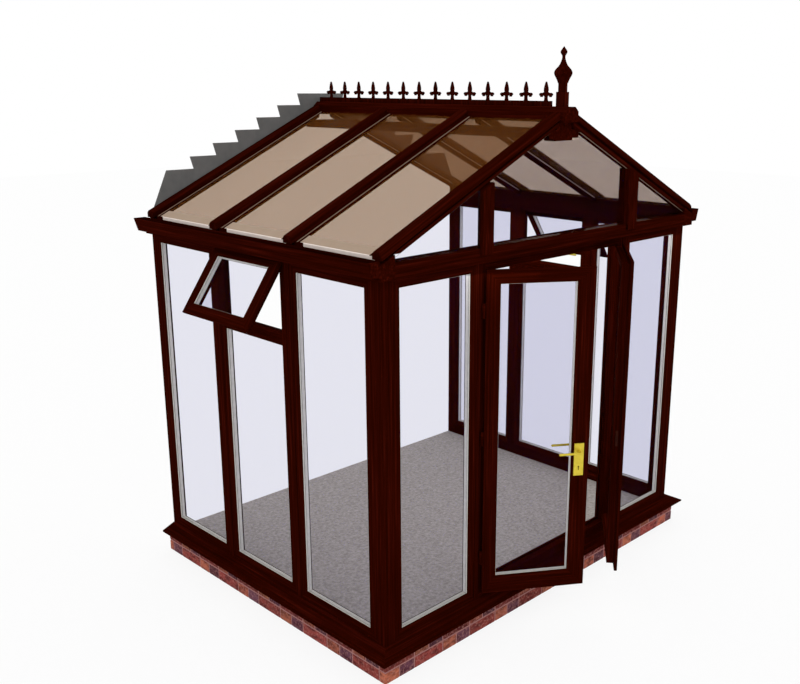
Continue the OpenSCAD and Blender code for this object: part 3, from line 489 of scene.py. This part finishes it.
CAD_FINISHES = {
    foil_up: ("corner_posts", "couplers", "wall_channels", "door_jambs", "finial"),
    foil_wide: ("sill_front", "door_head", "door_threshold"),
    foil_deep: ("sill_left", "sill_right", "left_eaves_beam", "right_eaves_beam", "left_gutter",
                "right_gutter", "ridge_cap", "ridge_tie"),
    foil_right: ("right_roof_bars",),
    foil_left: ("left_roof_bars",),
    slab: ("floor_slab",),
    sheet_lead: ("flashing",),
    cream: ("sheet_closers",),
    gold: ("left_door_plates", "left_door_lever", "vent_handles"),
    keep: ("lock_keep",),
}
for finish, names in CAD_FINISHES.items():
    for name in names:
        data = frame["nodes"][name].data
        data.materials.clear()
        data.materials.append(finish)

# Places of the walls: X along the wall, Y inward from its outer face, Z up
LEFT = place((-HALF_W, REAR_Y, 0), (0, -1, 0), (1, 0, 0))
RIGHT = place((HALF_W, REAR_Y, 0), (0, -1, 0), (-1, 0, 0))
FRONT = place((0, FRONT_Y, 0), (1, 0, 0), (0, 1, 0))
FRONT_MIRRORED = place((0, FRONT_Y, 0), (-1, 0, 0), (0, 1, 0))
WALLS = {"left": LEFT, "right": RIGHT}


def light_section(face):
    """Fixed frame section: eased face, sight bevel, glazing groove and a splayed bead inside."""
    g0, g1 = GLASS_SET, GLASS_SET + GROOVE_W
    outline = [[0, 0], [face - SIGHT_BEVEL, 0], [face, SIGHT_BEVEL], [face, g0],
               [face - GROOVE_D, g0], [face - GROOVE_D, g1], [face, g1],
               [face, g1 + BEAD_FLAT], [face - BEAD_SPLAY, FRAME_T], [0, FRAME_T]]
    return eased(outline, np.array([2, 0.8, 0.8, 0.1, 0.1, 0.1, 0.1, 0.2, 2, 2]) * MM)


def sash_section(face, lap):
    """Moving sash section: a lapping flange forward of the wall and a body that holds the glass."""
    g0 = SASH_FRONT + GLASS_SET
    g1 = g0 + GROOVE_W
    outline = [[0, SASH_FRONT], [face - SIGHT_BEVEL, SASH_FRONT], [face, SASH_FRONT + SIGHT_BEVEL],
               [face, g0], [face - GROOVE_D, g0], [face - GROOVE_D, g1], [face, g1],
               [face, g1 + BEAD_FLAT], [face - SASH_SPLAY, SASH_BACK], [lap + SASH_GAP, SASH_BACK],
               [lap + SASH_GAP, -SASH_GAP], [0, -SASH_GAP]]
    radii = np.array([4, 0.8, 0.8, 0.1, 0.1, 0.1, 0.1, 0.2, 2, 2, 0.1, 3]) * MM
    return eased(outline, radii)


def sash_ring(outline, faces, laps):
    """A whole sash whose four members have their own face widths and laps."""
    return ring(np.array([sash_section(f, lap) for f, lap in zip(faces, laps)]), outline)


def sealed_unit(x0, z0, x1, z1, front):
    """Two panes, the spacer between their edges and the gasket before them, for a sight size.

    Front is the depth of the unit's outer face, where the gasket meets it from the sash's face.
    """
    hold = GROOVE_D - UNIT_GAP
    outline = rectangle(x0 - hold, z0 - hold, x1 + hold, z1 + hold)
    back = front + GLASS_T
    panes = [prism(outline, front, front + PANE_T), prism(outline, back - PANE_T, back)]
    near, far = front + PANE_T + FIT, back - PANE_T - FIT
    strip = [[SPACER_IN, near], [hold + PROUD, near], [hold + PROUD, far], [SPACER_IN, far]]
    lip, root = front - GLASS_SET + GASKET_SET, front - FIT
    gasket = [[GASKET_IN, lip], [PROUD, lip], [PROUD, root], [GASKET_IN, root]]
    return panes, joined([ring(strip, outline), ring(gasket, rectangle(x0, z0, x1, z1))])


def wall_span(name, wall):
    """Start and end of a frame node along its wall."""
    lo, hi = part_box(name)
    if wall == "front":
        return lo.x, hi.x
    return REAR_Y - hi.y, REAR_Y - lo.y


# Fixed lights, their transoms and their sealed units
units = {"left": [], "right": [], "front": []}
strips = {"left": [], "right": [], "front": []}
LIGHTS = [(f"{side}_{bay}_frame", side)
          for side in ("left", "right") for bay in ("rear", "middle", "front")]
LIGHTS += [("front_left_frame", "front"), ("front_right_frame", "front")]
for name, wall in LIGHTS:
    where = WALLS.get(wall, FRONT)
    x0, x1 = wall_span(name, wall)
    z0, z1 = FRAME_Z0 + RAIL_W, FRAME_Z1 - RAIL_W
    faces = [RAIL_W, RAIL_W, RAIL_W - VENT_RISE * ("middle" in name), RAIL_W]
    shapes = [ring(np.array([light_section(f) for f in faces]), rectangle(x0, FRAME_Z0, x1, FRAME_Z1))]
    if "middle" in name:
        low, top, bead = TRANSOM_Z, TRANSOM_Z + TRANSOM_W, GLASS_SET + GROOVE_W + BEAD_FLAT
        rail = [[0, low + SIGHT_BEVEL], [SIGHT_BEVEL, low], [bead, low], [FRAME_T, low + BEAD_SPLAY],
                [FRAME_T, top - BEAD_SPLAY], [bead, top], [SIGHT_BEVEL, top], [0, top - SIGHT_BEVEL]]
        shapes.append(prism(eased(rail, 2 * MM), x0 + RAIL_W - SIGHT_BEVEL, x1 - RAIL_W + SIGHT_BEVEL,
                            (1, 2, 0)))
        z1 = TRANSOM_Z
    piece(name + "_foiled", [moved(s, where) for s in shapes], foil, stands_for=(name,))
    panes, strip = sealed_unit(x0 + RAIL_W, z0, x1 - RAIL_W, z1, GLASS_SET + SEAT)
    units[wall] += [moved(s, where) for s in panes]
    strips[wall].append(moved(strip, where))
for wall in units:
    piece(f"{wall}_panes", units[wall], glass, stands_for=(f"{wall}_glass",))
    piece(f"{wall}_spacers", strips[wall], spacer, foot=shaded_foot_spacer)

# Top-hung vents, swung out about their hinge line
vent_panes, vent_strips = [], []
for side, where in WALLS.items():
    x0, x1 = wall_span(f"{side}_middle_frame", side)
    x0, x1 = x0 + RAIL_W - SASH_LAPS[3], x1 - RAIL_W + SASH_LAPS[1]
    z0 = TRANSOM_Z + TRANSOM_W - SASH_LAPS[0]
    z1 = FRAME_Z1 - RAIL_W + VENT_RISE + SASH_LAPS[2]
    pivot = (0, -HINGE_R - FIT, z1 + VENT_HINGE_RISE)
    open_place = swung(where, pivot, 0, -VENT_OPEN)
    end = VENT_HINGE_L / 2
    barrel = [[0, -end], [HINGE_R, KNUCKLE_EDGE - end], [HINGE_R, end - KNUCKLE_EDGE], [0, end]]
    shapes = [moved(sash_ring(rectangle(x0, z0, x1, z1), SASH_FACES, SASH_LAPS), open_place)]
    for share in VENT_HINGES_AT:
        at = (x0 + share * (x1 - x0), pivot[1], pivot[2])
        shapes.append(moved(turned(barrel, at, axes=(1, 2, 0)), where))
    piece(f"{side}_vent_sash_foiled", shapes, foil, stands_for=(f"{side}_vent_sash",))
    panes, strip = sealed_unit(x0 + SASH_FACES[3], z0 + SASH_FACES[0], x1 - SASH_FACES[1],
                               z1 - SASH_FACES[2], SASH_FRONT + GLASS_SET + SEAT)
    vent_panes += [moved(s, open_place) for s in panes]
    vent_strips.append(moved(strip, open_place))
piece("vent_panes", vent_panes, glass, stands_for=("vent_glass",))
piece("vent_spacers", vent_strips, spacer, foot=shaded_foot_spacer)

# Door leaves, each swung about its own hinge line by the angle that its joint gives
for side, where in (("left", FRONT), ("right", FRONT_MIRRORED)):
    joint = next(j for j in frame["joints"] if j["name"] == f"{side}_door_hinge")
    axis_x, axis_y = -abs(joint["pos_m"][0]), joint["pos_m"][1] - FRONT_Y
    open_place = swung(where, (axis_x, axis_y, 0), 2, joint["range_deg"][0])
    lo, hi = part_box(f"{side}_door_leaf")
    x0 = axis_x + HINGE_OFF
    mullion = MEET_W * (side == "right")
    x1 = x0 + LEAF_W + mullion
    faces = LEAF_FACES + mullion * np.array([0, 1, 0, 0])
    shapes = [sash_ring(rectangle(x0, lo.z, x1, hi.z), faces, LEAF_LAPS)]
    for z in (lo.z + HINGE_INSET, (lo.z + hi.z) / 2, hi.z - HINGE_INSET):
        low, top = z + KNUCKLE_GAP, z + KNUCKLE_GAP + KNUCKLE_H
        knuckle = [[0, low], [HINGE_R - KNUCKLE_EDGE, low], [HINGE_R, low + KNUCKLE_EDGE],
                   [HINGE_R, top - KNUCKLE_DOME], [HINGE_R - KNUCKLE_DOME, top], [0, top]]
        flag = rectangle(axis_x, axis_y - HINGE_R / 2, x0 + FIT, axis_y + HINGE_R / 2)
        shapes += [turned(knuckle, (axis_x, axis_y, 0)), prism(flag, low, top, (0, 1, 2))]
    body = f"{side}_door"
    piece(f"{side}_leaf_foiled", [moved(s, open_place) for s in shapes], foil, body,
          (f"{side}_door_leaf",))
    panes, strip = sealed_unit(x0 + faces[3], lo.z + faces[0], x1 - faces[1], hi.z - faces[2],
                               SASH_FRONT + GLASS_SET + SEAT)
    piece(f"{side}_leaf_panes", [moved(s, open_place) for s in panes], glass, body,
          (f"{side}_door_glass",))
    piece(f"{side}_leaf_spacer", [moved(strip, open_place)], spacer, body, foot=shaded_foot_spacer)

# Gable beam and mullions: the beam's top is set down to the sight line of the photographed glass, and
# the mullions' outer sides are splayed behind a short straight edge
beam_lo, beam_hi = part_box("gable_beam")
mull_lo, mull_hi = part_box("gable_mullions")
tie_lo, tie_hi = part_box("ridge_tie")
gable_lo, gable_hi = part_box("gable_glass")
beam_top = beam_hi.z - BEAM_DROP
pane_foot = beam_top + SEAT
SIDE_X = beam_hi.x - FIT
mull_out = mull_hi.x
mull_in = mull_out - GABLE_MULL_W
sheets_lo, sheets_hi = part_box("right_roof_sheets")
SHEET_TOP = sheets_hi.z + sheets_lo.x * SLOPE
side_top = SHEET_TOP - BAR_DEPTH / math.cos(PITCH) - mull_out * SLOPE - FIT


def under_bars(x):
    """Underside of the roof bars' feet at a distance from the middle, less a sealing gap."""
    return side_top + (mull_out - abs(x)) * SLOPE


fascia, beam_back = beam_lo.y - FRONT_Y, beam_hi.y - FRONT_Y
rail = eased([[fascia, beam_lo.z], [0, beam_lo.z], [0, FRAME_Z1], [beam_back, FRAME_Z1],
              [beam_back, beam_top], [fascia, beam_top]])
piece("gable_beam_foiled", [moved(prism(rail, beam_lo.x, beam_hi.x, (1, 2, 0)), FRONT)], foil,
      stands_for=("gable_beam",))
mull_face, mull_back = mull_lo.y - FRONT_Y, mull_hi.y - FRONT_Y
splay_from = mull_face + MULL_SIDE
plan = eased([[mull_in, mull_face], [mull_out, mull_face], [mull_out, splay_from],
              [mull_out - MULL_SPLAY, mull_back], [mull_in, mull_back]])
lap_plan = eased([[mull_in, mull_face], [mull_out, mull_face], [mull_out, fascia], [mull_in, fascia]])
uprights = []
for sign in (1, -1):
    upright = prism(plan * (sign, 1), beam_top, beam_top + 1, (0, 1, 2))
    tops = upright[0][len(plan):]
    tops[:, 2] = under_bars(tops[:, 0])
    uprights += [upright, prism(lap_plan * (sign, 1), mull_lo.z, beam_top, (0, 1, 2))]
piece("gable_mullions_foiled", [moved(s, FRONT) for s in uprights], foil,
      stands_for=("gable_mullions",))

# Gable glazing: a centre unit cut round the tie and a raking unit each side
centre = [[-mull_in, pane_foot], [mull_in, pane_foot], [mull_in, under_bars(mull_in)],
          [tie_hi.x, under_bars(tie_hi.x)], [tie_hi.x, tie_lo.z], [-tie_hi.x, tie_lo.z],
          [-tie_hi.x, under_bars(tie_hi.x)], [-mull_in, under_bars(mull_in)]]
front, back = gable_lo.y - FRONT_Y, gable_hi.y - FRONT_Y
gable_panes = []
for depth in (front, back - PANE_T):
    edge_x = mull_out + FIT - MULL_SPLAY * (depth - splay_from) / (mull_back - splay_from)
    raking = np.array([[edge_x, pane_foot], [SIDE_X, pane_foot], [SIDE_X, under_bars(SIDE_X)],
                       [edge_x, under_bars(edge_x)]])
    gable_panes += [prism(o, depth, depth + PANE_T) for o in (centre, raking, raking * (-1, 1))]
raking_strips = []
for x0, x1 in ((tie_hi.x, mull_in), (mull_out, SIDE_X)):
    edge = np.array([[x0, under_bars(x0)], [x1, under_bars(x1)]])
    strip = np.concatenate([edge, edge[::-1] - (0, RAKE_SEAL_T)])
    raking_strips += [prism(strip * (sign, 1), front - deep, front - RAKE_SEAL_GAP)
                      for sign, deep in RAKE_SEAL_DEEP.items()]
piece("gable_panes", [moved(s, FRONT) for s in gable_panes], glass,
      stands_for=("gable_glass",))
piece("gable_seals", [moved(s, FRONT) for s in raking_strips], buff)

# Twin-wall roof sheets: two skins and upright ribs, between the bars of each slope
bars_lo, bars_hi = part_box("right_roof_bars")
closer_lo, closer_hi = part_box("sheet_closers")
BAR_YS = np.linspace(bars_lo.y + BAR_HALF, bars_hi.y - BAR_HALF, 4)
COS, SIN = math.cos(PITCH), math.sin(PITCH)
SIDES = {"right": 1, "left": -1}
sheet_x0 = (sheets_lo.x + SHEET_T * SIN) / COS
sheet_x1 = sheets_hi.x / COS
skirt_x1 = closer_hi.x / COS
tape_x0 = sheet_x1 - (sheets_hi.x - HALF_W + FRAME_T) / COS - TAPE_LAP
skins, ribs, seals, tapes, skirts, lines, lips = [], [], [], [], [], [], []
for rear_of, front_of in zip(BAR_YS[:-1], BAR_YS[1:]):
    y0, y1 = rear_of + WEB_HALF + SHEET_GAP, front_of - WEB_HALF - SHEET_GAP
    skins.append([[sheet_x0, y0, -SKIN_T], [sheet_x1, y1, 0]])
    skins.append([[sheet_x0, y0, -SHEET_T], [sheet_x1, y1, SKIN_T - SHEET_T]])
    rib_ys = np.linspace(y0, y1 - SKIN_T, round((y1 - y0) / RIB_PITCH))
    ribs += [[[sheet_x0, y, SKIN_T - SHEET_T], [sheet_x1, y + SKIN_T, -SKIN_T]] for y in rib_ys]
    near, far = rear_of + BAR_HALF, front_of - BAR_HALF
    tapes.append([[tape_x0, near, TAPE_Z[0]], [sheet_x1, far - TAPE_GAP, TAPE_Z[1]]])
    for y in (near, far - SKIRT_W):
        skirts.append([[sheet_x0, y, SKIRT_Z[0]], [skirt_x1, y + SKIRT_W, SKIRT_Z[1]]])
    for y in (near + LINE_AT, far - LINE_AT - LINE_W):
        lines.append([[sheet_x0, y, LINE_Z[0]], [skirt_x1 + LINE_PAST, y + LINE_W, LINE_Z[1]]])
    lips.append([[closer_hi.x + FIT, far - LIP_W, closer_lo.z],
                 [closer_hi.x + LIP_OUT, far, closer_hi.z + LIP_RISE]])
    seal_in = FOOT_HALF - WEB_HALF - SHEET_GAP
    for y in (y0 + seal_in, y1 - seal_in - BAR_SEAL_W):
        seals.append([[sheet_x0, y, -SHEET_T - BAR_SEAL_D],
                      [sheet_x1 - BAR_SEAL_SHORT, y + BAR_SEAL_W, -SHEET_T - FIT]])
for side, sign in SIDES.items():
    slope = place((0, 0, SHEET_TOP), (sign * COS, 0, -SIN), (0, 1, 0), (sign * SIN, 0, COS))
    level = place((0, 0, 0), (sign, 0, 0), (0, 1, 0))
    piece(f"{side}_twinwall", [moved(rows(skins), slope)], bronze,
          stands_for=(f"{side}_roof_sheets",))
    piece(f"{side}_twinwall_ribs", [moved(rows(ribs), slope)], bronze_rib)
    piece(f"{side}_end_tape", [moved(rows(tapes), slope)], tape)
    piece(f"{side}_bar_skirts", [moved(rows(skirts), slope), moved(rows(lips), level)], foil)
    piece(f"{side}_skirt_lines", [moved(rows(lines), slope)], buff)
    piece(f"{side}_bar_seals", [moved(rows(seals), slope)], seal)

# Ridge cresting: a strip with a row of fleurs, each a spear head over two drooping arms
FLEUR_H = 108 * MM
FLEUR_FIRST = 40 * MM
FLEUR_LAST = 120 * MM
FLEUR_COUNT = 14
FLEUR_T = 12 * MM
FLEUR_HALF = np.array([[12, 0], [9, 9], [8, 24], [16, 31], [25, 29], [28, 21], [38, 21], [40, 28], [47, 32],
                       [46, 40], [36, 45], [20, 45], [11, 50], [14, 58], [13, 70], [9, 84], [4, 99]]) * MM
crest_lo, crest_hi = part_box("ridge_cresting")
fleur = eased(np.concatenate([FLEUR_HALF, [[0, FLEUR_H]], FLEUR_HALF[::-1] * (-1, 1)]), 2 * MM)
strip_top = crest_hi.z - FLEUR_H
crest = [boxes(crest_lo, (crest_hi.x, crest_hi.y, strip_top))]
for y in np.linspace(crest_lo.y + FLEUR_FIRST, crest_hi.y - FLEUR_LAST, FLEUR_COUNT):
    crest.append(prism(fleur + (y, strip_top), -FLEUR_T / 2, FLEUR_T / 2, (1, 2, 0)))
piece("ridge_fleurs", crest, foil_up, stands_for=("ridge_cresting",))

# Brick plinth: an orange header, a dark header and a red stretcher repeat in each course
BED = 10 * MM
COURSES = [(0, 65 * MM, 0), (75 * MM, 110 * MM, 225 * MM)]
KINDS = [(102.5 * MM, "#B96A52"), (102.5 * MM, "#6C4450"), (215 * MM, "#93433E")]
CLOSER = 46 * MM
SHORTEST = 20 * MM
RECESS = 3 * MM
CORE_DROP = 1 * MM
ARRIS = 3 * MM
# Painted shade: the upper course under the sill's overhang keeps this share of its colour
SILL_SHADE = 0.55
front_lo, front_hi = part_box("plinth_front")
left_lo, left_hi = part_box("plinth_left")
OUT_X, OUT_Y, IN_T = -left_lo.x, front_lo.y, left_hi.x - left_lo.x


def course(start, end, shift, kinds):
    """Bricks of one course: (start, end, colour) along the wall, shifted into the repeat."""
    made, at, k = [], start - shift, 0
    while at < end - SHORTEST:
        length, shade = kinds[k % len(kinds)]
        a, b = max(at, start), min(at + length, end)
        if b - a > SHORTEST:
            made.append((a, b, shade))
        at, k = at + length + BED, k + 1
    return made


def fired(shade, low):
    """A brick's own colour, a little off its kind's, and darker with painted shade from the sill in the
    course under it.
    """
    base = np.array(colour(shade))
    # Random tone for every brick, times painted sill shade on the upper course
    base[:3] *= rng.uniform(0.85, 1.15) * rng.uniform(0.95, 1.05, 3) * (1 if low else SILL_SHADE)
    return base


brick_boxes, brick_tones = [], []
for z0, z1, shift in COURSES:
    for a, b, shade in course(-OUT_X, OUT_X, shift, KINDS):
        corner = a == -OUT_X or b == OUT_X
        deep = CLOSER if corner else IN_T
        brick_boxes.append([[a, OUT_Y, z0], [b, OUT_Y + deep, z1]])
        brick_tones.append(fired(shade, z0 == 0))
    for a, b, shade in course(CLOSER + BED, REAR_Y - OUT_Y, shift, KINDS[::-1]):
        for x0 in (-OUT_X, OUT_X - IN_T):
            brick_boxes.append([[x0, OUT_Y + a, z0], [x0 + IN_T, OUT_Y + b, z1]])
            brick_tones.append(fired(shade, z0 == 0))
bricks = piece("plinth_bricks", [rows(brick_boxes)], brick,
               stands_for=("plinth_left", "plinth_front", "plinth_right"),
               tones=np.repeat(brick_tones, 8, 0))
arris = bricks.modifiers.new("worn arrises", "BEVEL")
arris.width, arris.segments = ARRIS, 2
core = np.array([[[-OUT_X, OUT_Y, 0], [OUT_X, OUT_Y + IN_T, front_hi.z]],
                 [[-OUT_X, OUT_Y + IN_T - 2 * RECESS, 0], [IN_T - OUT_X, REAR_Y, front_hi.z]],
                 [[OUT_X - IN_T, OUT_Y + IN_T - 2 * RECESS, 0], [OUT_X, REAR_Y, front_hi.z]]])
core[:, 0, :2] += RECESS
core[:, 1, :2] -= RECESS
core[:, 1, 2] -= CORE_DROP
piece("plinth_mortar", [rows(core)], mortar)

# Pale floor and soft studio light from all round
world = bpy.data.worlds.new("studio")
bpy.context.scene.world = world
world.use_nodes = True
tree = world.node_tree
tree.nodes.clear()
sky = add(tree, "Background", {"Color": WHITE, "Strength": 1.0})
add(tree, "OutputWorld", {"Surface": sky.outputs[0]})

# The floor is white where it is seen, less a share that keeps the shadow
FLOOR = 30.0
FLOOR_Z = -0.002
FLOOR_WHITE = 0.88
floor_finish, tree = new_finish("white studio floor")
path = add(tree, "LightPath").outputs
seen = add(tree, "Math", {0: path["Is Camera Ray"], 1: path["Is Transmission Ray"]}, operation="MAXIMUM")
share = add(tree, "Math", {0: seen.outputs[0], 1: FLOOR_WHITE}, operation="MULTIPLY")
matt = add(tree, "BsdfDiffuse", {"Color": colour("#F4F4F4")})
lit = add(tree, "Emission", {"Color": WHITE, "Strength": 1.0})
mixed = add(tree, "MixShader", {0: share.outputs[0], 1: matt.outputs[0], 2: lit.outputs[0]})
add(tree, "OutputMaterial", {"Surface": mixed.outputs[0]})
floor_mesh = bpy.data.meshes.new("studio_floor")
floor_corners = [(-FLOOR, -FLOOR, FLOOR_Z), (FLOOR, -FLOOR, FLOOR_Z), (FLOOR, FLOOR, FLOOR_Z),
                 (-FLOOR, FLOOR, FLOOR_Z)]
floor_mesh.from_pydata(floor_corners, [], [(0, 1, 2, 3)])
floor = bpy.data.objects.new("studio_floor", floor_mesh)
floor_mesh.materials.append(floor_finish)
bpy.context.scene.collection.objects.link(floor)

# A soft panel under the roof makes up for the light that the glazing keeps out
lamp = bpy.data.lights.new("inside fill", "AREA")
lamp.shape, lamp.size, lamp.size_y = "RECTANGLE", 2.4, 2.0
lamp.energy = 19
fill = bpy.data.objects.new("inside fill", lamp)
fill.location = (0.2, -0.3, 2.15)
fill.visible_camera = fill.visible_glossy = fill.visible_transmission = False
bpy.context.scene.collection.objects.link(fill)

# Camera at the photograph's angle
camera_data = bpy.data.cameras.new("photo camera")
camera_data.sensor_fit = "HORIZONTAL"
camera_data.sensor_width = 36
camera_data.lens = 42.607
camera_data.shift_x = -0.05932
camera = bpy.data.objects.new("photo camera", camera_data)
camera.location = (-4.41376, -4.47944, 3.12471)
look = Vector((0.69254, 0.67287, -0.26005)).to_track_quat("-Z", "Y")
ROLL = math.radians(0.281)
camera.rotation_euler = (look @ Quaternion((0, 0, 1), ROLL)).to_euler()
bpy.context.scene.collection.objects.link(camera)
bpy.context.scene.camera = camera

# Light passes through many thin skins before it reaches the far wall
cycles = bpy.context.scene.cycles
cycles.transparent_max_bounces = 128
cycles.max_bounces = 10

bpy.context.scene.view_settings.view_transform = "Standard"
